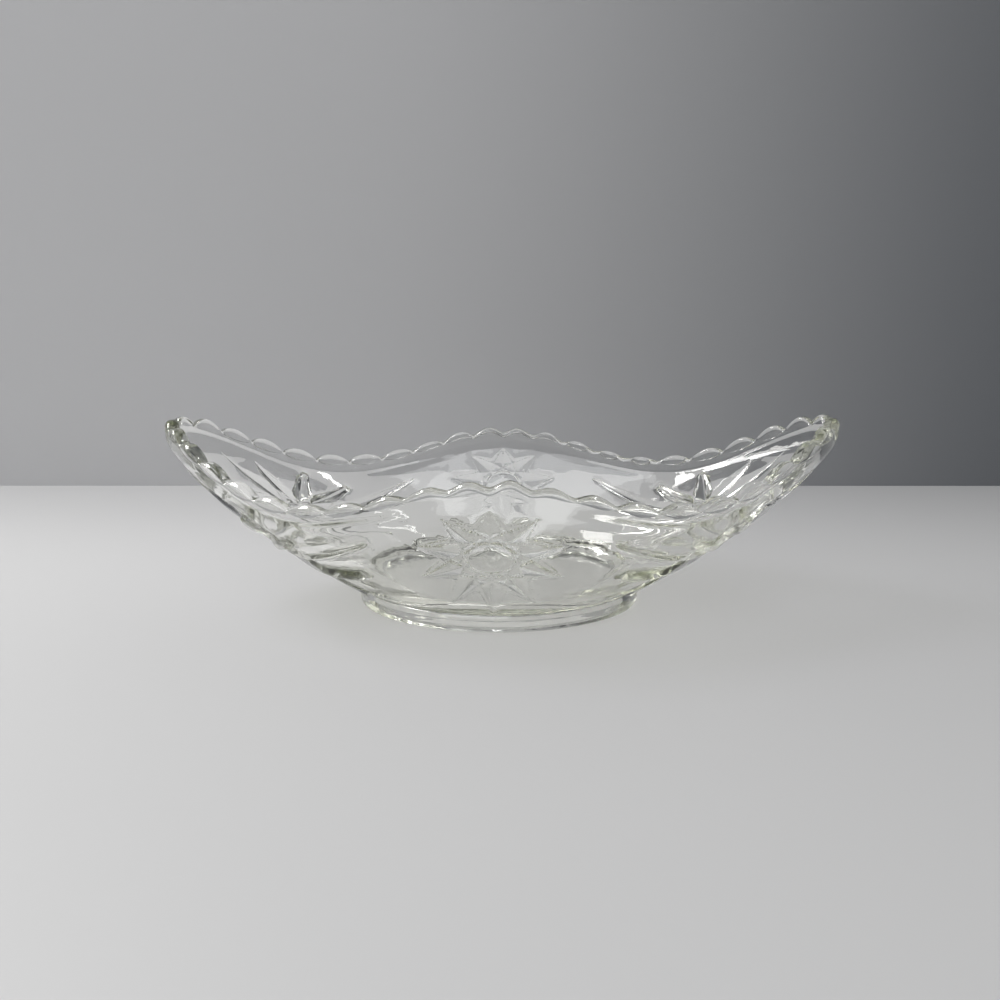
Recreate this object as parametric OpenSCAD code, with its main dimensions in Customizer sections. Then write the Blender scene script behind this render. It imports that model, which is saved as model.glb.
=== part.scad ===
// Boat-shaped relish tray of pressed glass: an oval foot ring, a flared wall
// that rises to both ends, a scalloped rim, and ten-rayed stars in relief.
// Millimetres. +X runs along the tray, +Z up, the foot stands on z = 0.

/* [Rim] */
// Half length of the rim outline
half_l = 118.9; // [110:0.1:126]
// Half width of the rim outline at the middle of the sides
half_w = 57.0; // [53:0.1:62]
// How much the rim outline narrows towards the ends, 0 is an ellipse
rim_taper = 0.34; // [0.1:0.01:0.4]
// Mean height of the dips between the scallops
rim_h = 51.8; // [46:0.1:56]
// How much higher the ends stand than the sides, halved
rim_rise = 6.1; // [3:0.1:8]
// How much the rim waves between the ends and the sides, halved
rim_wave = 7.5; // [2:0.1:8.5]
// Height of one scallop above the dips beside it
scallop_h = 2.4; // [1.5:0.1:3]
// How far a scallop swells out of the rim band
scallop_out = 0.7; // [0.3:0.1:1]
// Height of the upright band under the rim
band_h = 4.0; // [3:0.1:5]

/* [Wall] */
// Thickness of the wall under the rim
wall_top = 3.6; // [3.4:0.1:4.4]
// Thickness of the wall where it meets the foot
wall_foot = 6.0; // [5:0.1:6.2]
// Thickness of the edge above the inner ledge
edge = 3.8; // [3.2:0.1:4.4]
// How much the wall bellies out at the sides, 1 is straight
belly_side = 1.3; // [1.1:0.05:1.5]
// How much the wall bellies out at the ends, 1 is straight
belly_end = 1.4; // [1.2:0.05:1.6]
// Height of the floor inside
floor_h = 8.2; // [7.5:0.1:8.6]

/* [Foot] */
// Half length of the foot
foot_l = 50.1; // [46:0.1:53]
// Half width of the foot
foot_w = 34.8; // [32:0.1:37]
// Height of the foot ring
foot_h = 6.3; // [5.5:0.1:7]
// Width of the flat face that the foot ring stands on
foot_face = 4.2; // [3:0.1:6]
// Depth of the hollow under the foot
hollow_h = 2.6; // [1.5:0.1:3]

/* [Stars] */
// Tip radius of the star at the middle of each side
star_r = 23.4; // [20:0.1:24]
// Height of the middle of a side star above the table
star_z = 26.8; // [25:0.1:28]
// Height of a ray's ridge beside the star's round centre
ray_h = 1.9; // [1.6:0.1:3]
// Height of the edges where two rays part
part_h = 1.0; // [0.8:0.1:1.6]
// Height of those at the two ends, at their middle
end_h = 1.0; // [0.6:0.1:1.6]
// Radius of a star's round centre
eye_r = 7.0; // [5:0.1:8]
// Radius of the round centre of the stars at the ends
end_eye_r = 5.4; // [4.5:0.1:6]

/* [Hidden] */
per = 3;                       // columns to a scallop
count = 44;                    // scallops round the whole rim
foot_taper = 0.06;
sunk = 1.6;                    // how deep the relief is rooted in the wall

// A rim or foot outline is a quarter curve from the middle of a side (u = 0)
// to an end (u = 1), walked at an even pace along its own length.
function up_to(v, e) = v <= 0 ? 0 : pow(v, e);
function bow(a, b, c, f) = [a * sin(f), b * cos(f) * (1 - c * sin(f) * sin(f))];
function walk(a, b, c) = [for (i = 0, s = 0; i <= 90; i = i + 1, s = s + norm(bow(a, b, c, i) - bow(a, b, c, i - 1))) [s, i]];
rim_walk = walk(half_l, half_w, rim_taper);
foot_walk = walk(foot_l, foot_w, foot_taper);
function pace(u) = u + 0.028 * sin(180 * u) - 0.0125 * sin(360 * u);
function rim_xy(u) = bow(half_l, half_w, rim_taper, lookup(pace(u) * rim_walk[90][0], rim_walk));
function foot_xy(u) = bow(foot_l, foot_w, foot_taper, lookup(pace(u) * foot_walk[90][0], foot_walk));
function rim_z(u) = rim_h - rim_rise * cos(180 * u) + rim_wave * cos(360 * u) + 0.3 * cos(540 * u);

// k runs round the tray in scallops: 0 at the +Y side, 11 at the +X end.
function wrap(k) = k - count * floor(k / count);
function fold(k) = let (m = wrap(k), h = m > 22 ? m - 22 : m) (h > 11 ? 22 - h : h) / 11;
function side_x(k) = wrap(k) <= 22 ? 1 : -1;
function side_y(k) = wrap(k + 11) <= 22 ? 1 : -1;
function belly(u) = belly_side + (belly_end - belly_side) * u * u;
function outer(k, s) = let (u = fold(k), r = rim_xy(u), f = foot_xy(u), g = 1 - up_to(1 - s, belly(u)))
    [side_x(k) * (f.x + (r.x - f.x) * g), side_y(k) * (f.y + (r.y - f.y) * g), foot_h + (rim_z(u) - band_h - foot_h) * s];
function unit(v) = v / norm(v);
function out_dir(k, s) = let (a = outer(k + 0.25, s) - outer(k - 0.25, s), b = outer(k, min(1, s + 0.04)) - outer(k, max(0, s - 0.04))) unit(cross(b, a));
function skin(k, s, h) = outer(k, s) + h * out_dir(k, s);
// Level direction out of the rim and out of the foot
function rim_out(k) = let (a = outer(k + 0.25, 1) - outer(k - 0.25, 1)) unit([-a.y, a.x, 0]);
function foot_out(k) = let (a = outer(k + 0.4, 0) - outer(k - 0.4, 0)) unit([-a.y, a.x, 0]);
function rim_at(k, d, z) = let (p = outer(k, 1)) [p.x, p.y, rim_z(fold(k)) + z] + d * rim_out(k);
function foot_at(k, d, z) = let (p = outer(k, 0)) [p.x, p.y, z] + d * foot_out(k);
function bump(k) = up_to(abs(sin(180 * k)), 0.8);

// The wall's thickness at share s of its height
function thick(s) = wall_foot + (wall_top - wall_foot) * s * s;
// How far the ledge inside the rim reaches down
function ledge(k) = 1.85 + 2.9 * up_to(sin(180 * fold(k)), 1.5);

// One upright slice through the glass, from the hollow under the foot, out
// over the wall and the rim, and back down inside to the floor.
function slice(k) = let (c = scallop_h * bump(k), w = scallop_out * bump(k)) concat(
    [foot_at(k, -foot_face - 2.6, hollow_h), foot_at(k, -foot_face - 0.6, 0), foot_at(k, -0.6, 0), foot_at(k, 0.6, 1.2), foot_at(k, 0.5, foot_h - 1.3)],
    [for (s = [0, 0.14, 0.3, 0.48, 0.66, 0.84, 1]) outer(k, s)],
    [rim_at(k, w, c - 3), rim_at(k, w * 0.8, c - 1.1), rim_at(k, -1.2, c), rim_at(k, 1.2 - edge, c), rim_at(k, -edge, c - 1.1), rim_at(k, -edge - 0.1, -1.2), rim_at(k, -edge - 0.6, -ledge(k))],
    [for (s = [0.86, 0.66, 0.44, 0.24, 0.04]) skin(k, s, -thick(s))],
    [let (p = skin(k, 0.04, -thick(0.04)), q = foot_out(k)) [p.x, p.y, 0] - 4.2 * q + [0, 0, floor_h + 0.4],
     let (p = skin(k, 0.04, -thick(0.04)), q = foot_out(k)) [p.x, p.y, 0] - 9 * q + [0, 0, floor_h]]);

module shell() {
    n = count * per;
    rows = [for (j = [0 : n - 1]) slice(j / per)];
    m = len(rows[0]);
    points = [for (r = rows) each r];
    faces = concat(
        [for (j = [0 : n - 1], i = [0 : m - 2]) let (a = j * m + i, b = ((j + 1) % n) * m + i) each [[a, b + 1, a + 1], [a, b, b + 1]]],
        [[for (j = [n - 1 : -1 : 0]) j * m]],
        [[for (j = [0 : n - 1]) j * m + m - 1]]);
    polyhedron(points = points, faces = faces, convexity = 8);
}

// Outer surface of a side wall at x = u and v above the star's middle
function side_skin(q, u, v, h) = let (
    top = rim_z(0) - band_h, s = (star_z + v * 0.865 - foot_h) / (top - foot_h),
    t = max(0, min(0.93, s)), g = 1 - up_to(1 - t, belly_side),
    step = outer(1, 0).x + (outer(1, 1).x - outer(1, 0).x) * g)
    skin(q * 22 + u / step, t, h);

// A block through the given outer points, rooted in the wall by the given inner ones
module block(p) {
    hull() polyhedron(points = p, faces = [for (i = [0 : len(p) - 3]) [0, i + 1, i + 2]]);
}

// Every star is a ten-pointed one drawn with straight lines that graze its
// round centre. Shares of the tip radius: where the bevels of two rays meet on
// the wall, where their lines cross, and where the ridge of a ray ends.
foot_r = 0.655;
cross_r = 0.526;
ridge_r = 0.382;
function side_at(q, a, r, h) = side_skin(q, star_r * r * sin(a), star_r * r * cos(a), h);

module side_star(q) {
    for (i = [0 : 9]) {
        a = 36 * i;
        block([
            side_at(q, a, 1, 0.5), side_at(q, a, 0.97, -sunk / 2),
            side_at(q, a - 18, foot_r, 0.1), side_at(q, a + 18, foot_r, 0.1),
            side_at(q, a - 18, foot_r - 0.1, -sunk), side_at(q, a + 18, foot_r - 0.1, -sunk),
            side_at(q, a - 18, cross_r, part_h), side_at(q, a + 18, cross_r, part_h),
            side_at(q, a, ridge_r, ray_h), side_at(q, a, 0.69, (ray_h + 0.6) / 2),
            side_at(q, a - 18, 0.2, ray_h - 0.5), side_at(q, a + 18, 0.2, ray_h - 0.5),
            side_skin(q, 0, 0, -sunk)]);
    }
    block([for (h = [ray_h, -sunk], i = [0 : 19]) side_skin(q, eye_r * sin(18 * i), eye_r * cos(18 * i), h)]);
}

// The stars by the ends are drawn out along the wall. Each tip is [k, s]:
// scallops from the middle of the side, and share of the wall's height.
eye = [8.85, 0.42];
tips = [[9.38, 0.87], [8.26, 0.86], [6.55, 0.885], [5.42, 0.775], [3.2, 0.785], [4.2, 0.46], [6.6, 0.08], [9.1, 0.05], [10.7, 0.17], [10.65, 0.58]];
// How high each of them stands
tip_h = [0.4, 0.5, 2.4, 3.4, 1.5, 2.6, 1.0, 1.0, 1.0, 0.8];
// Which quarter of the tray: 0 and 1 at the +X end, 2 and 3 at the -X end
function quarter_k(q, k) = q == 0 ? k : q == 1 ? 22 - k : q == 2 ? 22 + k : 44 - k;
function end_skin(q, p, h) = skin(quarter_k(q, p.x), p.y, h);
function reach(p) = norm(outer(p.x, p.y) - outer(eye.x, eye.y));

// A point r millimetres from the eye, the way that d points
function toward(d, r) = eye + d * (r / reach(eye + d));

module end_star(q) {
    for (i = [0 : 9]) {
        t = tips[i] - eye;
        l = (tips[i] + tips[(i + 9) % 10]) / 2 - eye;
        r = (tips[i] + tips[(i + 1) % 10]) / 2 - eye;
        half = end_h + (tip_h[i] - end_h) * 0.3;
        block([
            end_skin(q, toward(l, 13), 0.1), end_skin(q, toward(r, 13), 0.1),
            end_skin(q, toward(l, 12), -sunk), end_skin(q, toward(r, 12), -sunk),
            end_skin(q, toward(l, 9), end_h * 0.6), end_skin(q, toward(r, 9), end_h * 0.6),
            end_skin(q, toward(t, 9), end_h), end_skin(q, toward(t, 17), half), end_skin(q, toward(t, 17), -sunk / 2),
            end_skin(q, eye, -sunk)]);
        block([
            end_skin(q, toward(l, 13), 0.1), end_skin(q, toward(r, 13), 0.1),
            end_skin(q, toward(l, 12), -sunk / 2), end_skin(q, toward(r, 12), -sunk / 2),
            end_skin(q, toward(t, 17), half), end_skin(q, toward(t, 17), -sunk / 2),
            end_skin(q, eye + t * 0.98, tip_h[i]), end_skin(q, eye + t, tip_h[i] * 0.8), end_skin(q, eye + t, -0.2)]);
    }
    block([for (h = [end_h, -sunk], i = [0 : 9], g = [0, 1])
        let (a = tips[i], b = tips[(i + 1) % 10], d = g == 0 ? a : (a + b) / 2)
        end_skin(q, toward(d - eye, end_eye_r), h)]);
}

module tray() {
    color([0.86, 0.9, 0.86, 0.55]) union() {
        shell();
        for (q = [0, 1]) side_star(q);
        for (q = [0 : 3]) end_star(q);
    }
}

tray();
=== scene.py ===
import math

import bpy
import numpy as np
from mathutils import Matrix, Vector
from mathutils.geometry import delaunay_2d_cdt


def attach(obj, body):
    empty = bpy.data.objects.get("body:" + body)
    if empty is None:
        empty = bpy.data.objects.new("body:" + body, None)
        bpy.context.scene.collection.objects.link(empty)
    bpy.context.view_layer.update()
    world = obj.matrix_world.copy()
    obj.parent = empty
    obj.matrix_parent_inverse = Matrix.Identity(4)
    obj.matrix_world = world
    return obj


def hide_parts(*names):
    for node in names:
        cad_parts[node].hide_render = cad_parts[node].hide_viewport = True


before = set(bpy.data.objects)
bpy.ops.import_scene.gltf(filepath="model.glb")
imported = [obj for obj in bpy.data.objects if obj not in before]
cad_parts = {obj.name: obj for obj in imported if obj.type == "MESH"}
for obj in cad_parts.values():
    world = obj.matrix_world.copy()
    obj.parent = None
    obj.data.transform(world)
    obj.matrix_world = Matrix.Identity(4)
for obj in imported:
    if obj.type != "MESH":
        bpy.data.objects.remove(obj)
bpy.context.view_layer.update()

# ---------------------------------------------------------------- camera
# The camera comes first. Focal length is 0.8 of the picture's width.
cam_data = bpy.data.cameras.new("camera")
cam_data.sensor_width = 36.0
cam_data.lens = 28.8
cam_data.clip_start, cam_data.clip_end = 0.01, 10.0
cam = bpy.data.objects.new("camera", cam_data)
bpy.context.scene.collection.objects.link(cam)
right = Vector((0.99916, 0.04014, -0.00827))
up = Vector((-0.00099, 0.22521, 0.97431))
back = -Vector((-0.04097, 0.97348, -0.22506))
cam.matrix_world = Matrix((
    (right.x, up.x, back.x, 0.01273),
    (right.y, up.y, back.y, -0.28272),
    (right.z, up.z, back.z, 0.10239),
    (0, 0, 0, 1)))
bpy.context.scene.camera = cam

# ---------------------------------------------------------------- glass shape
# Millimetres here, metres in the mesh. k runs round the tray in scallops from
# the middle of the +Y side (0) to the +X end (11), 44 in all; s runs up the
# wall from the foot (0) to the rim band (1).
HALF_L, HALF_W, TAPER = 118.9, 57.0, 0.34
FOOT_L, FOOT_W, FOOT_TAPER = 50.1, 34.8, 0.06
RIM_H, RIM_RISE, RIM_WAVE = 51.8, 6.1, 7.5
BAND_H, FOOT_H, FLOOR_H, HOLLOW_H = 4.0, 6.3, 8.2, 2.6
WALL_TOP, WALL_FOOT = 3.6, 6.0
BEAD = 1.0
BELLY_SIDE, BELLY_END = 1.3, 1.4
STAR_R, RAY_H, PART_H, EYE_R = 23.4, 1.8, 1.0, 7.2
COLS = 12                      # columns to a scallop

# Heights of the scallops in mm, from the middle of a side to the tip, for the
# four quarters (+X or -X, +Y or -Y): no two runs of them are quite alike.
TABS = {(1, 1): (2.1, 2.5, 2.0, 1.5, 1.4, 2.3, 3.0, 3.2, 3.3, 3.2, 2.5),
        (-1, 1): (2.4, 2.6, 1.9, 2.3, 2.8, 2.8, 3.0, 3.0, 2.8, 3.1, 2.5),
        (1, -1): (2.3, 1.7, 2.2, 2.4, 2.6, 2.9, 2.9, 2.8, 2.7, 2.6, 2.4),
        (-1, -1): (1.8, 1.8, 1.9, 2.1, 2.2, 2.4, 2.6, 2.6, 2.6, 2.6, 2.4)}
# How round the dips between them are: above 1 a wave, below 1 a row of tabs.
DIPS = {(1, 1): (1.5, 1.5, 1.5, 1.6, 1.5, 1.2, 1.0, 0.95, 0.95, 0.95, 0.9),
        (-1, 1): (1.1, 1.0, 0.85, 0.8, 0.75, 0.75, 0.75, 0.75, 0.8, 0.85, 0.9),
        (1, -1): (1.7, 1.6, 1.4, 1.2, 1.1, 1.05, 1.0, 0.95, 0.9, 0.9, 0.9),
        (-1, -1): (1.6, 1.4, 1.2, 1.0, 0.9, 0.8, 0.8, 0.8, 0.8, 0.85, 0.9)}


def curve(a, b, c):
    f = np.linspace(0, math.pi / 2, 6001)
    x, y = a * np.sin(f), b * np.cos(f) * (1 - c * np.sin(f) ** 2)
    s = np.concatenate([[0], np.cumsum(np.hypot(np.diff(x), np.diff(y)))])
    return s / s[-1], x, y


RIM, FOOT = curve(HALF_L, HALF_W, TAPER), curve(FOOT_L, FOOT_W, FOOT_TAPER)


def pace(u):
    return u + 0.028 * np.sin(math.pi * u) - 0.0125 * np.sin(2 * math.pi * u)


def along(table, u):
    t = pace(u)
    return np.interp(t, table[0], table[1]), np.interp(t, table[0], table[2])


def rim_z(u):
    return RIM_H - RIM_RISE * np.cos(math.pi * u) + RIM_WAVE * np.cos(2 * math.pi * u) + 0.3 * np.cos(3 * math.pi * u)


def fold(k):
    m = np.mod(k, 44)
    h = np.where(m > 22, m - 22, m)
    return np.where(h > 11, 22 - h, h) / 11


def outer(k, s):
    k, s = np.broadcast_arrays(np.asarray(k, float), np.asarray(s, float))
    u = fold(k)
    sx = np.where(np.mod(k, 44) <= 22, 1.0, -1.0)
    sy = np.where(np.mod(k + 11, 44) <= 22, 1.0, -1.0)
    rx, ry = along(RIM, u)
    fx, fy = along(FOOT, u)
    belly = BELLY_SIDE + (BELLY_END - BELLY_SIDE) * u * u
    g = 1 - np.maximum(1 - s, 0) ** belly
    return np.stack([sx * (fx + (rx - fx) * g), sy * (fy + (ry - fy) * g), FOOT_H + (rim_z(u) - BAND_H - FOOT_H) * s], -1)


def unit(v):
    return v / np.maximum(np.linalg.norm(v, axis=-1, keepdims=True), 1e-12)


def out_dir(k, s):
    k, s = np.broadcast_arrays(np.asarray(k, float), np.asarray(s, float))
    a = outer(k + 0.12, s) - outer(k - 0.12, s)
    b = outer(k, np.minimum(1, s + 0.03)) - outer(k, np.maximum(0, s - 0.03))
    return unit(np.cross(b, a))


def skin(k, s, h):
    return outer(k, s) + np.asarray(h)[..., None] * out_dir(k, s)


def level_out(k, s):
    a = outer(k + 0.12, s) - outer(k - 0.12, s)
    return unit(np.stack([-a[..., 1], a[..., 0], 0 * a[..., 0]], -1))


def rim_at(k, d, z):
    p = outer(k, 1.0)
    q = np.stack([p[..., 0], p[..., 1], rim_z(fold(k)) + z], -1)
    return q + np.asarray(d)[..., None] * level_out(k, 1.0)


def foot_at(k, d, z):
    p = outer(k, 0.0)
    q = np.stack([p[..., 0], p[..., 1], z + 0 * k], -1)
    return q + np.asarray(d)[..., None] * level_out(k, 0.0)


# ---- the flattened outer wall: k and s as polar coordinates close to true size
FAN, RHO0 = 1.106 / 11, 60.7
U_TAB, S_TAB = np.linspace(0, 1, 111), np.linspace(0, 1, 301)
grid = outer(U_TAB[:, None] * 11, S_TAB[None, :])
SLANT = np.concatenate([np.zeros((111, 1)), np.cumsum(np.linalg.norm(np.diff(grid, axis=1), axis=2), axis=1)], 1)


def slant_row(u):
    f = np.clip(u, 0, 1) * 110
    i = np.minimum(f.astype(int), 109)
    t = (f - i)[:, None]
    return SLANT[i] * (1 - t) + SLANT[i + 1] * t


def flat_of(k, s):
    k, s = np.atleast_1d(np.asarray(k, float)), np.atleast_1d(np.asarray(s, float))
    k, s = np.broadcast_arrays(k, s)
    rows = slant_row(k / 11)
    f = np.clip(s, 0, 1) * 300
    i = np.minimum(f.astype(int), 299)
    n = np.arange(len(i))
    rho = RHO0 + rows[n, i] * (1 - (f - i)) + rows[n, i + 1] * (f - i)
    return np.stack([rho * np.sin(k * FAN), rho * np.cos(k * FAN)], -1)


def wall_of(p):
    """k and s of points on the flattened wall"""
    k = np.arctan2(p[:, 0], p[:, 1]) / FAN
    rho = np.hypot(p[:, 0], p[:, 1]) - RHO0
    rows = slant_row(np.clip(k / 11, 0, 1))
    s = np.array([np.interp(r, row, S_TAB) for r, row in zip(rho, rows)])
    return k, s


# ---- the stars, as triangles with a height at each corner
STEP_S = np.linspace(0, 1, 201)
STEP_X = outer(1.0, STEP_S)[:, 0]


def side_flat(pts):
    """Points of the side star's own plane (mm across, mm up the wall) on the flattened wall"""
    pts = np.atleast_2d(pts)
    v = pts[:, 1]
    s = np.clip(0.578 + 0.01987 * v - 0.000193 * v * v, 0, 0.95)
    return flat_of(np.abs(pts[:, 0]) / np.interp(s, STEP_S, STEP_X), s)


def turn(deg, r):
    a = math.radians(deg)
    return np.array([r * math.sin(a), r * math.cos(a)])


# Every star is drawn with straight lines that graze its round centre, two from
# each tip. A bevel runs along each ray's outside, down to the wall.
TIP_H = 0.5                      # a ray ends in a short upright edge
CUT_W, CUT_D = 0.36, 0.44        # half width and depth of the line between two facets


def star_points(tips, r, bevel):
    """Corners of a star, round (0, 0). tips: angle in degrees, rising, and
    reach; r: radius that the lines graze; bevel: the same for the outline"""
    n = len(tips)
    ang = [a for a, _ in tips]
    ang = ang + [a + 360 for a in ang] + [a + 720 for a in ang]
    span = [d for _, d in tips] * 3

    def meet(i, j, r):
        a = ang[i] + math.degrees(math.acos(r / span[i]))
        b = ang[j] - math.degrees(math.acos(r / span[j]))
        return turn((a + b) / 2, r / math.cos(math.radians((a - b) / 2)))

    T = [turn(*t) for t in tips]
    A = [turn(a + 90, 1.0) for a, _ in tips]                      # across each ray
    O = [meet(i + n, i + n + 1, bevel) for i in range(n)]         # where two bevels meet on the wall
    N = [meet(i + n, i + n + 1, r) for i in range(n)]             # where the lines of two rays cross
    C = [meet(i + n - 1, i + n + 1, r) for i in range(n)]         # where a ray's ridge ends
    P = [(turn(ang[i] - math.degrees(math.acos(r / span[i])), r), turn(ang[i] + math.degrees(math.acos(r / span[i])), r)) for i in range(n)]
    return T, A, O, N, C, P


def rays(T, A, O, N, C, P, ends, high, part, keep, ground=lambda p: 0.0):
    """Triangles (corners, heights), feature lines, and the lines cut in.
    ends: half width of each ray's blunt tip, and its height"""
    tris, lines, cuts = [], [], []
    n, zero = len(T), np.zeros(2)
    for i in range(n):
        j, h = (i + 1) % n, (i - 1) % n
        w, tip = ends[i]
        a, b, low = T[i] + A[i] * w, T[i] - A[i] * w, tip * (0.8 if w > 0 else 1.0)
        tris += [((a, O[i], N[i]), (low, ground(O[i]), part)), ((b, O[h], N[h]), (low, ground(O[h]), part)),
                 ((T[i], a, N[i]), (tip, low, part)), ((T[i], b, N[h]), (tip, low, part)),
                 ((T[i], N[i], C[i]), (tip, part, high)), ((T[i], N[h], C[i]), (tip, part, high)),
                 ((zero, N[i], C[i]), (high - 0.2, part, high)), ((zero, N[i], C[j]), (high - 0.2, part, high))]
        lines += [(a, O[i]), (b, O[h]), (T[i], C[i])]
        if w > 0:
            lines += [(a, T[i]), (T[i], b)]
        cuts += [(a, N[i]), (N[i], C[j]), (C[j], P[i][1]), (b, N[h]), (N[h], C[h]), (C[h], P[i][0])]
    tris = [t for t in tris if keep(sum(t[0]) / 3)]
    lines = [t for t in lines if keep(sum(t) / 2)]
    cuts = [t for t in cuts if keep(sum(t) / 2)]
    return tris, lines, cuts


def face_r(deg):
    """Radius of the side star's flat round face, a little lower than wide"""
    return EYE_R - 0.3 - 1.1 * np.cos(np.radians(deg)) ** 2


def side_star():
    """Lists of (corners, heights) triangles, feature lines, and the eye"""
    def place(q):
        return side_flat(q)[0]

    corners = star_points([(36 * i, STAR_R) for i in range(10)], EYE_R, 1.6 * EYE_R)
    tris, lines, cuts = rays(*corners, [(0, TIP_H)] * 10, RAY_H, PART_H, lambda m: m[0] > -1e-6)
    tris = [(tuple(place(q) for q in c), h) for c, h in tris]
    lines, cuts = [[(place(a), place(b)) for a, b in e] for e in (lines, cuts)]
    rings = [[side_flat(turn(a, r(a)))[0] for a in np.linspace(0, 180, n)] for r, n in ((lambda a: EYE_R, 31), (face_r, 27))]
    return tris, lines + cuts, rings, (place([0, 0]), side_flat), cuts


EYE = np.array([8.85, 0.42])
# the tips: place, half width in mm, height
TIPS = np.array([[9.38, 0.87, 0.3, 0.4], [8.26, 0.86, 0.3, 0.5], [6.55, 0.885, 1.2, 2.4], [5.42, 0.775, 1.3, 3.5], [3.2, 0.785, 0.3, 1.5],
                 [4.2, 0.46, 1.6, 2.7], [6.6, 0.08, 0.8, 1.2], [9.1, 0.04, 0.8, 1.0], [10.75, 0.16, 1.2, 1.2], [10.7, 0.58, 0.8, 0.8]])
# The wall is hollowed between the end stars' rays, and the rays stand out most at their tips
END_HIGH, END_PART, SINK = 0.8, -0.7, 2.0
END_EYE_R = 5.4


def hollow(r):
    """Height of the wall between the rays, at r mm from an end star's centre"""
    m = np.clip((31 - r) / 12, 0, 1)
    return -SINK * m * m * (3 - 2 * m)


def end_star():
    c = flat_of(EYE[0], EYE[1])[0]
    D = flat_of(TIPS[:, 0], TIPS[:, 1]) - c
    tips = sorted((math.degrees(math.atan2(x, y)), math.hypot(x, y), w, h) for (x, y), (w, h) in zip(D, TIPS[:, 2:]))
    corners = star_points([t[:2] for t in tips], END_EYE_R, 1.36 * END_EYE_R)
    tris, lines, cuts = rays(*corners, [t[2:] for t in tips], END_HIGH, END_PART, lambda m: True,
                             lambda p: hollow(math.hypot(p[0], p[1])))
    tris = [(tuple(c + q for q in p), h) for p, h in tris]
    lines, cuts = [[(c + a, c + b) for a, b in e] for e in (lines, cuts)]
    rings = [[c + turn(a, r) for a in np.linspace(0, 360, n)] for r, n in ((END_EYE_R, 47), (END_EYE_R - 0.7, 41))]
    return tris, lines + cuts, rings, (c, None), cuts


def eye_height(r, face, high):
    """The round centre: a narrow raised rim, and a flat round face inside it"""
    return np.where(r > face, high + 0.1, high - 0.3)


STARS = [side_star(), end_star()]
SIDE_SCALE = np.array([[np.linalg.norm(side_flat(turn(a, EYE_R))[0] - STARS[0][3][0]) for a in range(0, 181, 6)]])[0]


def groove(p, cuts):
    """Depth of the lines at each point"""
    depth = np.zeros(len(p))
    for a, b in cuts:
        d = b - a
        t = np.clip(((p - a) @ d) / (d @ d), 0, 1)
        off = np.linalg.norm(p - a - t[:, None] * d, axis=1)
        depth = np.maximum(depth, CUT_D * (1 - off / CUT_W))
    return depth


def raw_height(p):
    h = np.zeros(len(p))
    for tris, lines, rings, (c, kind), cuts in STARS:
        q = p - c
        r, eye = np.hypot(q[:, 0], q[:, 1]), EYE_R if kind is not None else END_EYE_R
        face, ground = eye - 0.7, np.zeros(len(p)) if kind is not None else hollow(r)
        best = np.full(len(p), -9.0)
        for corners, heights in tris:
            a, b, d = corners
            m = np.array([[b[0] - a[0], d[0] - a[0]], [b[1] - a[1], d[1] - a[1]]])
            det = m[0, 0] * m[1, 1] - m[0, 1] * m[1, 0]
            if abs(det) < 1e-9:
                continue
            o = p - a
            u = (o[:, 0] * m[1, 1] - o[:, 1] * m[0, 1]) / det
            v = (o[:, 1] * m[0, 0] - o[:, 0] * m[1, 0]) / det
            inside = (u > -1e-6) & (v > -1e-6) & (u + v < 1 + 1e-6)
            val = heights[0] * (1 - u - v) + heights[1] * u + heights[2] * v
            best = np.where(inside, np.maximum(best, val), best)
        best = np.maximum(best - groove(p, cuts), ground)
        if kind is not None:       # the side star's eye isn't quite round on the flattened wall
            ang = np.degrees(np.arctan2(np.abs(q[:, 0]), q[:, 1]))
            r, face = r / np.interp(ang, np.arange(0, 181, 6), SIDE_SCALE) * EYE_R, face_r(ang)
        high = END_HIGH if kind is None else RAY_H
        best = np.where(r < eye + 0.02, eye_height(r, face, high), best)
        h = np.where(best > 1e-9, np.maximum(h, best), np.where(h > 1e-9, h, np.minimum(h, best)))
    return h


SOFT = 0.11
OFFSETS = np.array([(0, 0)] + [(0.5 * SOFT * math.cos(a), 0.5 * SOFT * math.sin(a)) for a in np.arange(6) * math.pi / 3]
                   + [(SOFT * math.cos(a), SOFT * math.sin(a)) for a in (np.arange(10) + 0.5) * math.pi / 5])


def mirrored(p):
    """Points past the middle of a side or the keel, folded back"""
    q = p.copy()
    q[:, 0] = np.abs(q[:, 0])
    ang = np.arctan2(q[:, 0], q[:, 1])
    over = ang > 11 * FAN
    r = np.hypot(q[:, 0], q[:, 1])
    ang = np.where(over, 22 * FAN - ang, ang)
    return np.stack([r * np.sin(ang), r * np.cos(ang)], -1)


def height(p):
    """Height of the relief, with its edges rounded as fire polishing leaves them"""
    return np.mean([raw_height(mirrored(p + o)) for o in OFFSETS], 0)


# ---------------------------------------------------------------- the outer wall's mesh
def subdivide(a, b, step):
    n = max(1, int(math.ceil(np.linalg.norm(np.asarray(b) - a) / step)))
    return [np.asarray(a) + (np.asarray(b) - a) * i / n for i in range(n + 1)]


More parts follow.
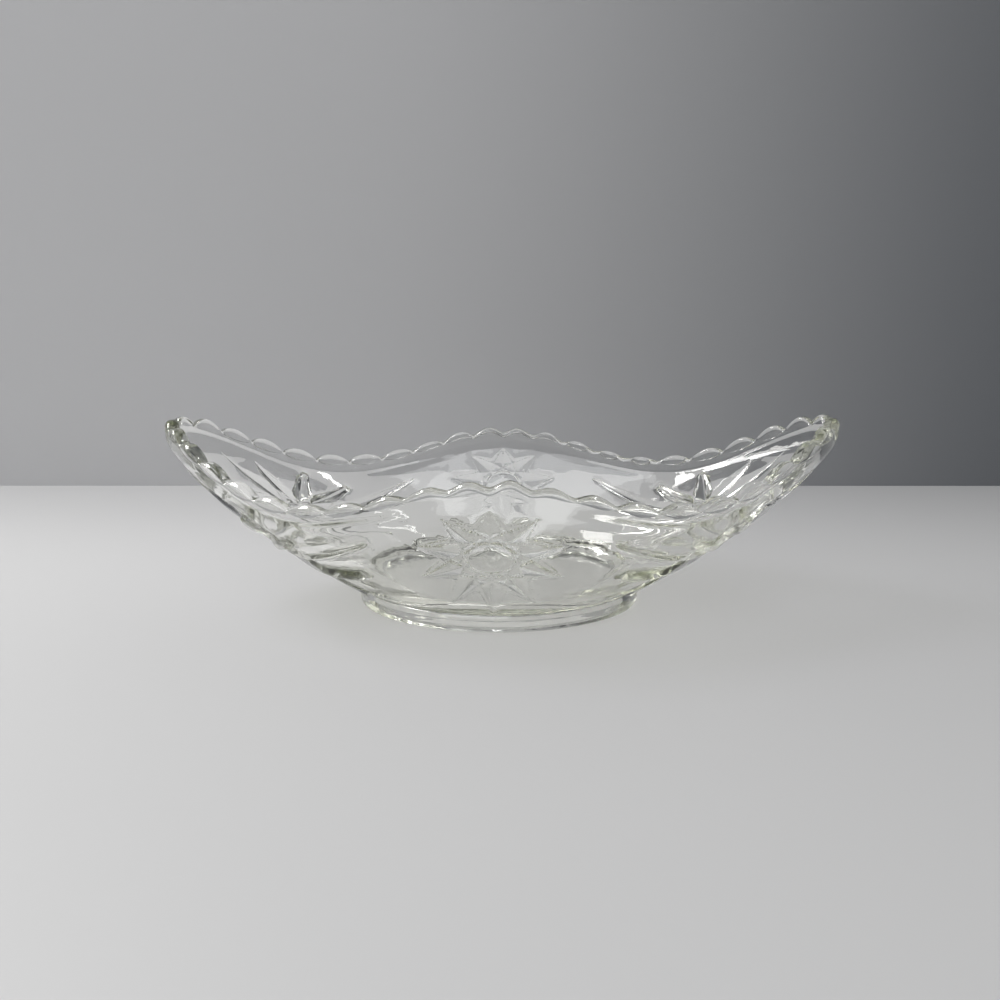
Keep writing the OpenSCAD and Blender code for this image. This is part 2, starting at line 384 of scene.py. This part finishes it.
K_COLS = np.arange(11 * COLS + 1) / COLS
class Sieve:
    """Keeps points that are not closer than a given gap to one kept before"""
    def __init__(self, cell=1.2):
        self.cell, self.cells, self.pts = cell, {}, []

    def key(self, p):
        return int(math.floor(p[0] / self.cell)), int(math.floor(p[1] / self.cell))

    def near(self, p, gap):
        kx, ky = self.key(p)
        n = int(math.ceil(gap / self.cell))
        for i in range(kx - n, kx + n + 1):
            for j in range(ky - n, ky + n + 1):
                for q in self.cells.get((i, j), ()):
                    d = self.pts[q]
                    if (d[0] - p[0]) ** 2 + (d[1] - p[1]) ** 2 < gap * gap:
                        return q
        return -1

    def add(self, p, gap):
        q = self.near(p, gap)
        if q >= 0:
            return q
        self.pts.append((float(p[0]), float(p[1])))
        self.cells.setdefault(self.key(p), []).append(len(self.pts) - 1)
        return len(self.pts) - 1


def wall_patch():
    sieve, edges = Sieve(), []
    n = len(K_COLS)
    bottom = [sieve.add(p, 1e-4) for p in flat_of(K_COLS, np.zeros(n))]
    top = [sieve.add(p, 1e-4) for p in flat_of(K_COLS, np.ones(n))]
    edges += list(zip(bottom, bottom[1:])) + list(zip(top, top[1:]))
    # the middle of the side and the keel, with the star's points on them
    on_side = sorted({round(float(p[1]), 4) for i in (0, 5) for e in (STARS[0][0],) for tri in e for p in tri[0] if abs(p[0]) < 1e-6})
    marks = {0: [RHO0] + on_side + [float(np.hypot(*flat_of(0, 1)[0]))], 11: [RHO0, float(np.hypot(*flat_of(11, 1)[0]))]}
    for k, stops in marks.items():
        way = np.array([math.sin(k * FAN), math.cos(k * FAN)])
        chain = []
        for a, b in zip(stops, stops[1:]):
            chain += [sieve.add(way * r, 0.02) for r in np.linspace(a, b, max(1, int(math.ceil((b - a) / 1.1))) + 1)]
        chain[0], chain[-1] = (bottom[0], top[0]) if k == 0 else (bottom[-1], top[-1])
        edges += [(a, b) for a, b in zip(chain, chain[1:]) if a != b]
    lines = []
    for tris, feature, rings, _, _ in STARS:
        lines += [subdivide(a, b, 0.95) for a, b in feature] + [list(map(np.asarray, r)) for r in rings]
    for line in lines:
        ids = [sieve.add(p, 0.02) for p in line]
        edges += [(a, b) for a, b in zip(ids, ids[1:]) if a != b]
    # rows beside each edge, where the rounding is
    for line in lines:
        pts = np.array(line)
        mid = (pts[1:] + pts[:-1]) / 2
        d = pts[1:] - pts[:-1]
        nrm = np.stack([-d[:, 1], d[:, 0]], -1) / np.maximum(np.linalg.norm(d, axis=1), 1e-9)[:, None]
        for off in (0.2, -0.2, 0.42, -0.42):
            for p in mid + nrm * off:
                k = math.atan2(p[0], p[1]) / FAN
                if p[0] > 0.12 and k < 10.95:
                    sieve.add(p, 0.14)
    # the smooth ground
    gap = 1.9
    lo, hi = -2.0, 160.0
    for j in range(int(hi / (gap * 0.866)) + 1):
        y = j * gap * 0.866
        for i in range(int(hi / gap) + 1):
            x = (i + 0.5 * (j % 2)) * gap
            k = math.atan2(x, y) / FAN if (x, y) != (0, 0) else 99
            r = math.hypot(x, y)
            if not (x > 0.6 and k < 10.93 and r > RHO0 + 0.5):
                continue
            t = np.interp(k / 11, U_TAB, SLANT[:, -1])
            if r < RHO0 + t - 0.7:
                sieve.add((x, y), 1.05)
    verts, _, faces, orig, _, _ = delaunay_2d_cdt([Vector(p) for p in sieve.pts], edges, [], 1, 1e-6, True)
    p = np.array([(v.x, v.y) for v in verts])
    k, s = wall_of(p)
    back = {}
    for i, o in enumerate(orig):
        for x in o:
            back[x] = i
    for row, sv in ((bottom, 0.0), (top, 1.0)):
        for q, kk in zip(row, K_COLS):
            i = back[q]
            k[i], s[i] = kk, sv
    side, keel = p[:, 0] < 1e-5, np.arctan2(p[:, 0], p[:, 1]) / FAN > 11 - 1e-5
    k[side], k[keel] = 0.0, 11.0
    # keep only the triangles between the foot's and the rim's own edges
    faces = [tuple(f) for f in faces]
    c = p[np.array(faces)].mean(1)
    j = np.clip((np.arctan2(c[:, 0], c[:, 1]) / FAN * COLS).astype(int), 0, n - 2)
    keep = np.ones(len(faces), bool)
    for line, sign in ((flat_of(K_COLS, np.zeros(n)), 1.0), (flat_of(K_COLS, np.ones(n)), -1.0)):
        a, b = line[j], line[j + 1]
        keep &= sign * ((b - a)[:, 0] * (c - a)[:, 1] - (b - a)[:, 1] * (c - a)[:, 0]) > 0
    faces = [f for f, ok in zip(faces, keep) if ok and not side[list(f)].all() and not keel[list(f)].all()]
    h = height(p)
    fade = np.clip(np.minimum(s / np.where(h < 0, 0.25, 0.02), (1 - s) / 0.02), 0, 1)
    pos = outer(k, s) + (h * fade)[:, None] * out_dir(k, s)
    ends = (s < 1e-9) | (s > 1 - 1e-9)
    pos[ends] = outer(k[ends], s[ends])
    return pos, faces, side, keel


# ---------------------------------------------------------------- rim, inside and foot
def smooth_rows(rows, parts):
    """Rows put between the given ones on a smooth curve through them"""
    out = []
    for i in range(len(rows) - 1):
        a = rows[i - 1] if i else 2 * rows[0] - rows[1]
        b, c = rows[i], rows[i + 1]
        d = rows[i + 2] if i + 2 < len(rows) else 2 * rows[-1] - rows[-2]
        for j in range(parts):
            t = j / parts
            out.append(0.5 * ((2 * b) + (c - a) * t + (2 * a - 5 * b + 4 * c - d) * t * t + (3 * b - a - 3 * c + d) * t ** 3))
    return out + [rows[-1]]


def thick(s):
    """The wall's thickness: thicker towards the foot"""
    return WALL_FOOT + (WALL_TOP - WALL_FOOT) * s * s


def rim_rows(k, side):
    j = np.clip(k.astype(int), 0, 10)
    wave = np.abs(np.sin(math.pi * k))
    b = wave ** np.array(DIPS[side])[j]
    c = np.array(TABS[side])[j] * b
    # near the middle of a side the bead runs on like a cord under the wave,
    # and further out it's a row of lens-shaped tabs
    tabs = np.clip((k - 0.5) / 2.5, 0, 1)
    rows = [outer(k, 1.0), rim_at(k, 0.02, -3.4), rim_at(k, 0.03, -2.9)]
    low = (c - 2.1) * (1 - tabs) + (-0.35 - 1.45 * b) * tabs
    out = BEAD * (0.75 * (1 - tabs) + b * tabs) * (1 - 0.85 * np.clip((k - 8.2) / 2.2, 0, 1))
    high = c - 0.45
    rows.append(rim_at(k, 0 * k + 0.03, low - 0.12))
    tip, arc = np.clip((k - 9.2) / 1.5, 0, 1), 2.7             # at the tips the outer edge is well rounded
    for t in (0.0, 0.06, 0.16, 0.32, 0.5, 0.68, 0.84, 0.95, 1.0):
        z = low + (high - low) * t
        v = np.clip((z - (c - arc)) / arc, 0, 1)
        rows.append(rim_at(k, 0.03 + out * (max(0.0, 4 * t * (1 - t))) ** 0.55 - tip * arc * (1 - np.sqrt(1 - v * v)), z))
    wide = 1 + 0.32 * np.clip((k - 7) / 4, 0, 1) ** 1.5       # the edge is thicker at the tips
    for d, z, d2, z2 in ((-0.18, -0.2, -1.15, -0.3), (-0.5, -0.06, -1.4, -0.2), (-1.1, 0.0, -1.8, -0.08), (-1.9, 0.03, -2.3, 0.0),
                         (-2.7, -0.02, -2.8, -0.02), (-3.25, -0.16, -3.25, -0.16), (-3.6, -0.45, -3.6, -0.45), (-3.78, -0.9, -3.78, -0.9)):
        rows.append(rim_at(k, (d + (d2 - d) * tip) * wide, c + z + (z2 - z) * tip))
    deep = 0.8 + 2.9 * np.sin(math.pi * np.clip(k / 11, 0, 1)) ** 1.5
    top, foot = rim_at(k, -3.8 * wide, c - 0.9), skin(k, 0.86, -thick(0.86) + 0 * k)
    lead = np.linalg.norm(foot - top, axis=1)[:, None]
    down, along_wall = np.array([0, 0, -1.0]), unit(skin(k, 0.8, -thick(0.8) + 0 * k) - foot)
    crisp = np.clip((k - 1.2) / 3.0, 0, 1)[:, None]
    crisp = crisp * crisp * (3 - 2 * crisp)
    steps = [(-3.82, None, t) for t in (0.35, 0.7, 1.0)] + [(-3.86, 0.1, 0), (-3.95, -0.3, 0), (-4.2, -0.7, 0), (-4.5, -1.05, 0)]
    for i, (d, z, t) in enumerate(steps):
        hard = rim_at(k, d * wide, (c - 0.9) * (1 - t) - 0.6 * deep * t if z is None else z - deep)
        f = (i + 1) / 8
        soft = ((2 * f ** 3 - 3 * f * f + 1) * top + (f ** 3 - 2 * f * f + f) * lead * down
                + (3 * f * f - 2 * f ** 3) * foot + (f ** 3 - f * f) * lead * along_wall)
        rows.append(hard * crisp + soft * (1 - crisp))
    return rows


def inner_rows(k):
    p = skin(k, 0.04, -thick(0.04) + 0 * k)
    q = level_out(k, 0.0)
    base = p.copy()
    base[:, 2] = 0
    up_z = np.array([0, 0, 1.0])
    rows = [skin(k, s, -thick(s) + 0 * k) for s in (0.86, 0.76, 0.66, 0.55, 0.44, 0.34, 0.24, 0.13, 0.04)]
    rows += [base - 4.2 * q + up_z * (FLOOR_H + 0.5), base - 9.0 * q + up_z * FLOOR_H]
    return rows


def floor_rings(edge, z_mid, parts, power=1.6):
    """Rings from the given edge to the middle, with a round middle point"""
    z0 = edge[:, 2]
    rings = []
    for i in range(1, parts):
        f = 1 - i / parts
        ring = edge.copy()
        ring[:, :2] *= f
        ring[:, 2] = z0 + (z_mid - z0) * (1 - f ** power)
        rings.append(ring)
    return rings


def foot_rows(k):
    rows = [outer(k, 0.0)]
    for d, z in ((0.1, 6.1), (0.3, 5.75), (0.62, 5.25), (0.86, 4.8), (0.98, 4.3), (1.02, 3.5), (1.04, 2.4), (1.0, 1.5), (0.86, 0.85), (0.55, 0.35), (0.1, 0.08), (-0.5, 0.0), (-0.9, 0.0),
                 (-2.7, 0.0), (-4.5, 0.0), (-4.85, 0.04), (-5.2, 0.3), (-5.6, 0.9), (-6.1, 1.8), (-6.6, 2.35), (-7.3, HOLLOW_H)):
        rows.append(foot_at(k, d + 0 * k, z + 0 * k))
    return rows


def strip(rows, first):
    n = len(rows[0])
    faces = []
    for j in range(len(rows) - 1):
        a = first + j * n
        for i in range(n - 1):
            faces.append((a + i, a + i + 1, a + n + i + 1, a + n + i))
    return faces


def quarter(side, patch):
    verts, faces = [], []

    def put(rows, middle=None):
        first = sum(len(v) for v in verts)
        for r in rows:
            r = r.copy()
            r[0, 0] = 0.0
            r[-1, 1] = 0.0
            verts.append(r)
        faces.extend(strip(rows, first))
        if middle is not None:
            verts.append(np.array([[0.0, 0.0, middle]]))
            last, n = first + (len(rows) - 1) * len(rows[0]), len(rows[0])
            tip = last + n
            faces.extend((last + i, last + i + 1, tip) for i in range(n - 1))

    k = K_COLS
    ledge = rim_rows(k, side)
    inside = inner_rows(k)
    joined = smooth_rows([ledge[-2], ledge[-1]] + inside, 3)[3:]
    top = ledge[:-1] + joined
    top += floor_rings(top[-1], FLOOR_H - 0.1, 11)
    put(top, FLOOR_H - 0.1)
    foot = foot_rows(k)
    foot += floor_rings(foot[-1], HOLLOW_H + 0.3, 9)
    put(foot, HOLLOW_H + 0.3)
    pos, tri = patch
    first = sum(len(v) for v in verts)
    verts.append(pos)
    faces.extend(tuple(first + i for i in f) for f in tri)
    return np.concatenate(verts), faces


def whole():
    pos, tri, side, keel = wall_patch()
    pos[side, 0] = 0.0
    pos[keel, 1] = 0.0
    all_v, all_f = [], []
    for sx, sy in ((1, 1), (1, -1), (-1, 1), (-1, -1)):
        v, f = quarter((sx, sy), (pos, tri))
        v = np.round(v, 6)
        first = sum(len(x) for x in all_v)
        all_v.append(v * np.array([sx, sy, 1.0]) + 0.0)
        flip = sx * sy < 0
        all_f += [tuple(first + i for i in (reversed(t) if flip else t)) for t in f]
    v = np.concatenate(all_v)
    v[v == 0] = 0.0
    keep, index = np.unique(v, axis=0, return_inverse=True)
    index = index.ravel()
    faces = []
    for t in all_f:
        ids = []
        for i in t:
            i = int(index[i])
            if not ids or ids[-1] != i:
                ids.append(i)
        if ids[0] == ids[-1]:
            ids.pop()
        if len(ids) > 2 and len(set(ids)) == len(ids):
            faces.append(ids)
    used = np.zeros(len(keep), bool)
    used[[i for t in faces for i in t]] = True
    place = np.cumsum(used) - 1
    return keep[used], [[int(place[i]) for i in t] for t in faces]


verts, faces = whole()
mesh = bpy.data.meshes.new("relish_tray")
mesh.from_pydata([tuple(x) for x in verts / 1000.0], [], faces)
mesh.validate()
import bmesh
bm = bmesh.new()
bm.from_mesh(mesh)
bmesh.ops.recalc_face_normals(bm, faces=bm.faces)
open_edges = sum(1 for e in bm.edges if len(e.link_faces) != 2)
volume = bm.calc_volume(signed=True) * 1e6
if volume < 0:
    bmesh.ops.reverse_faces(bm, faces=bm.faces)
bm.to_mesh(mesh)
bm.free()
mesh.update()
print("tray mesh: %d points, %d faces, %d open edges, %.1f cm3" % (len(mesh.vertices), len(mesh.polygons), open_edges, abs(volume)))

# Slow waves that pressing and fire polishing leave in the surface
co = np.zeros(len(mesh.vertices) * 3)
mesh.vertices.foreach_get("co", co)
co = co.reshape(-1, 3)
nr = np.zeros(len(mesh.vertices) * 3, np.float32)
mesh.vertex_normals.foreach_get("vector", nr)
nr = nr.reshape(-1, 3).astype(float)
m = co * 1000
wave = (np.sin(m[:, 0] / 6.3 + 1.3 * np.sin(m[:, 1] / 9.1)) * np.sin(m[:, 1] / 5.2 + m[:, 2] / 7.7)
        + 0.6 * np.sin(m[:, 0] / 2.9 - m[:, 2] / 3.9 + 2.0) * np.sin(m[:, 1] / 3.3 + m[:, 2] / 2.7 + 1.0)
        + 0.35 * np.sin(m[:, 0] / 1.9 + 2.1 * np.sin(m[:, 2] / 6.0)) * np.sin(m[:, 2] / 2.1 + m[:, 1] / 2.4))
ends = np.clip((np.abs(m[:, 0]) - 45) / 20, 0, 1)
wave = wave + ends * (0.9 * np.sin(m[:, 0] / 1.45 + 1.2 * np.sin(m[:, 2] / 5.0)) + 0.6 * np.sin(m[:, 0] / 2.3 + m[:, 1] / 2.6))
amp = 0.026 * np.clip((m[:, 2] - 1.0) / 2.0, 0, 1)
co = co + nr * (wave * amp / 1000.0)[:, None]
mesh.vertices.foreach_set("co", co.ravel())
for p in mesh.polygons:
    p.use_smooth = True
mesh.update()
tray = bpy.data.objects.new("relish_tray", mesh)
bpy.context.scene.collection.objects.link(tray)

# ---------------------------------------------------------------- materials
def node_material(name):
    mat = bpy.data.materials.new(name)
    mat.use_nodes = True
    nt = mat.node_tree
    nt.nodes.clear()
    return mat, nt, nt.nodes.new("ShaderNodeOutputMaterial")


def glass_material():
    mat, nt, out = node_material("pressed_glass")
    p = nt.nodes.new("ShaderNodeBsdfPrincipled")
    p.inputs["Base Color"].default_value = (1, 1, 1, 1)
    p.inputs["Transmission Weight"].default_value = 1.0
    p.inputs["IOR"].default_value = 1.52
    coord = nt.nodes.new("ShaderNodeTexCoord")
    # a faint film left by handling, never quite even
    film = nt.nodes.new("ShaderNodeTexNoise")
    film.inputs["Scale"].default_value = 38.0
    film.inputs["Detail"].default_value = 3.0
    nt.links.new(coord.outputs["Object"], film.inputs["Vector"])
    ramp = nt.nodes.new("ShaderNodeMapRange")
    ramp.inputs["From Min"].default_value = 0.35
    ramp.inputs["From Max"].default_value = 0.75
    ramp.inputs["To Min"].default_value = 0.0
    ramp.inputs["To Max"].default_value = 0.05
    nt.links.new(film.outputs["Fac"], ramp.inputs["Value"])
    nt.links.new(ramp.outputs["Result"], p.inputs["Roughness"])
    # fine ripples of the mould's surface
    ripple = nt.nodes.new("ShaderNodeTexNoise")
    ripple.inputs["Scale"].default_value = 190.0
    ripple.inputs["Detail"].default_value = 2.0
    nt.links.new(coord.outputs["Object"], ripple.inputs["Vector"])
    bump = nt.nodes.new("ShaderNodeBump")
    bump.inputs["Strength"].default_value = 0.06
    bump.inputs["Distance"].default_value = 0.0006
    nt.links.new(ripple.outputs["Fac"], bump.inputs["Height"])
    nt.links.new(bump.outputs["Normal"], p.inputs["Normal"])
    # lamps shine through to the table under the glass
    path = nt.nodes.new("ShaderNodeLightPath")
    clear = nt.nodes.new("ShaderNodeBsdfTransparent")
    clear.inputs["Color"].default_value = (0.945, 0.945, 0.94, 1)
    both = nt.nodes.new("ShaderNodeMixShader")
    nt.links.new(path.outputs["Is Shadow Ray"], both.inputs["Fac"])
    nt.links.new(p.outputs["BSDF"], both.inputs[1])
    nt.links.new(clear.outputs["BSDF"], both.inputs[2])
    nt.links.new(both.outputs["Shader"], out.inputs["Surface"])
    vol = nt.nodes.new("ShaderNodeVolumeAbsorption")
    vol.inputs["Color"].default_value = (0.79, 0.81, 0.67, 1)
    vol.inputs["Density"].default_value = 14.0
    nt.links.new(vol.outputs["Volume"], out.inputs["Volume"])
    return mat


mesh.materials.append(glass_material())
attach(tray, "root")
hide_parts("tray")


# ---------------------------------------------------------------- stage
def plain(name, colour, rough, grain=0.0):
    mat, nt, out = node_material(name)
    p = nt.nodes.new("ShaderNodeBsdfPrincipled")
    p.inputs["Base Color"].default_value = (*colour, 1)
    p.inputs["Roughness"].default_value = rough
    nt.links.new(p.outputs["BSDF"], out.inputs["Surface"])
    return mat, nt, p


def sheet(name, corners):
    me = bpy.data.meshes.new(name)
    me.from_pydata(corners, [], [(0, 1, 2, 3)])
    ob = bpy.data.objects.new(name, me)
    bpy.context.scene.collection.objects.link(ob)
    return ob


floor = sheet("floor", [(-1.2, -0.5, -0.0002), (1.2, -0.5, -0.0002), (1.2, 0.2, -0.0002), (-1.2, 0.2, -0.0002)])
mat, nt, p = plain("pale_floor", (0.60, 0.60, 0.605), 0.5)
floor.data.materials.append(mat)
wall = sheet("backdrop", [(-1.2, 0.2, -0.0002), (1.2, 0.2, -0.0002), (1.2, 0.2, 0.45), (-1.2, 0.2, 0.45)])
mat, nt, p = plain("backdrop_painted_falloff", (0.4, 0.4, 0.41), 0.8)
# painted shade: the backdrop's colour runs from pale grey on the left to dark grey on the right, standing in for the
# window light falling off across the wall
coord = nt.nodes.new("ShaderNodeTexCoord")
sep = nt.nodes.new("ShaderNodeSeparateXYZ")
nt.links.new(coord.outputs["Object"], sep.inputs["Vector"])
ramp = nt.nodes.new("ShaderNodeMapRange")
ramp.interpolation_type = "SMOOTHSTEP"
ramp.inputs["From Min"].default_value = -0.10
ramp.inputs["From Max"].default_value = 0.37
nt.links.new(sep.outputs["X"], ramp.inputs["Value"])
mix = nt.nodes.new("ShaderNodeMix")
mix.data_type = "RGBA"
mix.inputs[6].default_value = (0.60, 0.60, 0.61, 1)
mix.inputs[7].default_value = (0.17, 0.18, 0.195, 1)
nt.links.new(ramp.outputs["Result"], mix.inputs[0])
nt.links.new(mix.outputs[2], p.inputs["Base Color"])
wall.data.materials.append(mat)


def area(name, loc, target, size, power, colour=(1, 1, 1), size_y=None):
    data = bpy.data.lights.new(name, "AREA")
    data.shape = "RECTANGLE"
    data.size, data.size_y = size, size_y or size
    data.energy = power
    data.color = colour
    ob = bpy.data.objects.new(name, data)
    ob.location = loc
    way = Vector(target) - Vector(loc)
    ob.rotation_euler = way.to_track_quat("-Z", "Y").to_euler()
    bpy.context.scene.collection.objects.link(ob)
    return ob


area("window", (-0.85, 0.13, 1.05), (0, 0, 0.03), 0.5, 12.3, (1.0, 0.99, 0.97))
area("lamp", (0.37, 0.08, 0.93), (0, 0, 0.03), 0.07, 0.55)
area("spot", (-0.66, 0.33, 0.95), (0, 0, 0.03), 0.12, 1.1, (1.0, 0.99, 0.97))
area("soft", (-0.30, -0.95, 1.05), (0, -0.15, 0.0), 1.0, 8.6, (0.98, 0.99, 1.0))

world = bpy.data.worlds.new("world")
bpy.context.scene.world = world
world.use_nodes = True
bg = world.node_tree.nodes["Background"]
bg.inputs["Color"].default_value = (0.5, 0.51, 0.53, 1)
bg.inputs["Strength"].default_value = 0.10

scene = bpy.context.scene
scene.view_settings.view_transform = "Standard"
scene.cycles.max_bounces = 24
scene.cycles.transmission_bounces = 24
scene.cycles.glossy_bounces = 12
scene.cycles.diffuse_bounces = 3
scene.cycles.use_denoising = True
scene.cycles.seed = 7
scene.cycles.caustics_reflective = False
scene.cycles.caustics_refractive = False
